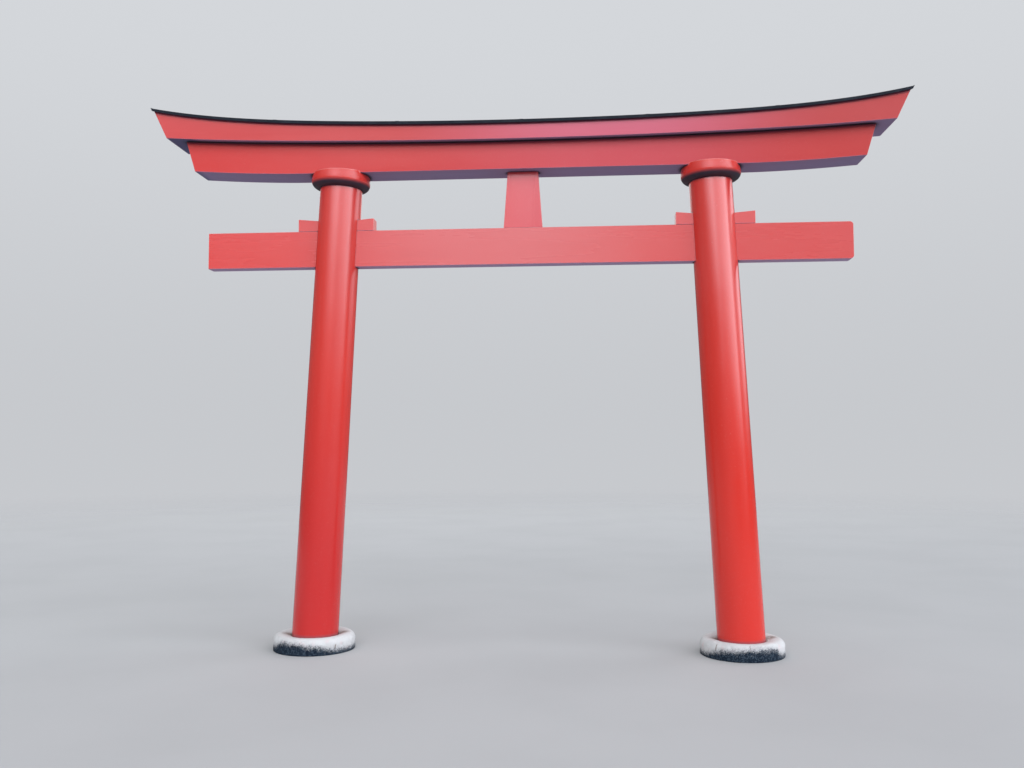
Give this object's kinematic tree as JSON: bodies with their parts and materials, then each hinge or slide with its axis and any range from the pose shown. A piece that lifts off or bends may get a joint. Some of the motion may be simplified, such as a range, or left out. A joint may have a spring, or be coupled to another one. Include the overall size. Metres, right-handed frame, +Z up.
{
  "type": "torii gate",
  "caption": "Vermilion shrine gate with leaning round posts on base stones, a wedged tie beam, a centre strut and curved lower and upper lintels under a dark metal roof.",
  "frame": {"origin": "on the ground, midway between the posts", "axes": "+X to the right seen from the front, +Y to the back, +Z up"},
  "size_m": [5.809, 0.617, 4.208],
  "materials": {
    "vermilion_paint": "smooth semi-gloss vermilion paint on timber, slightly weathered",
    "pale_stone": "pale dressed stone, dirty and mossy towards the ground",
    "dark_metal": "near-black coated sheet metal, satin"
  },
  "bodies": {
    "root": {"base_stone_left": "pale_stone", "base_stone_right": "pale_stone", "post_left": "vermilion_paint", "post_right": "vermilion_paint", "capital_ring_left": "vermilion_paint", "capital_ring_right": "vermilion_paint", "tie_beam": "vermilion_paint", "wedge_left_outer": "vermilion_paint", "wedge_left_inner": "vermilion_paint", "wedge_right_inner": "vermilion_paint", "wedge_right_outer": "vermilion_paint", "centre_strut": "vermilion_paint", "lower_lintel": "vermilion_paint", "upper_lintel": "vermilion_paint", "roof_board_front": "vermilion_paint", "roof_board_back": "vermilion_paint", "roof_sheet_front_1": "dark_metal", "roof_sheet_front_2": "dark_metal", "roof_sheet_front_3": "dark_metal", "roof_sheet_front_4": "dark_metal", "roof_sheet_front_5": "dark_metal", "roof_sheet_front_6": "dark_metal", "roof_sheet_back_1": "dark_metal", "roof_sheet_back_2": "dark_metal", "roof_sheet_back_3": "dark_metal", "roof_sheet_back_4": "dark_metal", "roof_sheet_back_5": "dark_metal", "roof_sheet_back_6": "dark_metal", "roof_edge_left": "dark_metal", "roof_edge_right": "dark_metal", "ridge_cap": "dark_metal"}
  },
  "joints": []
}
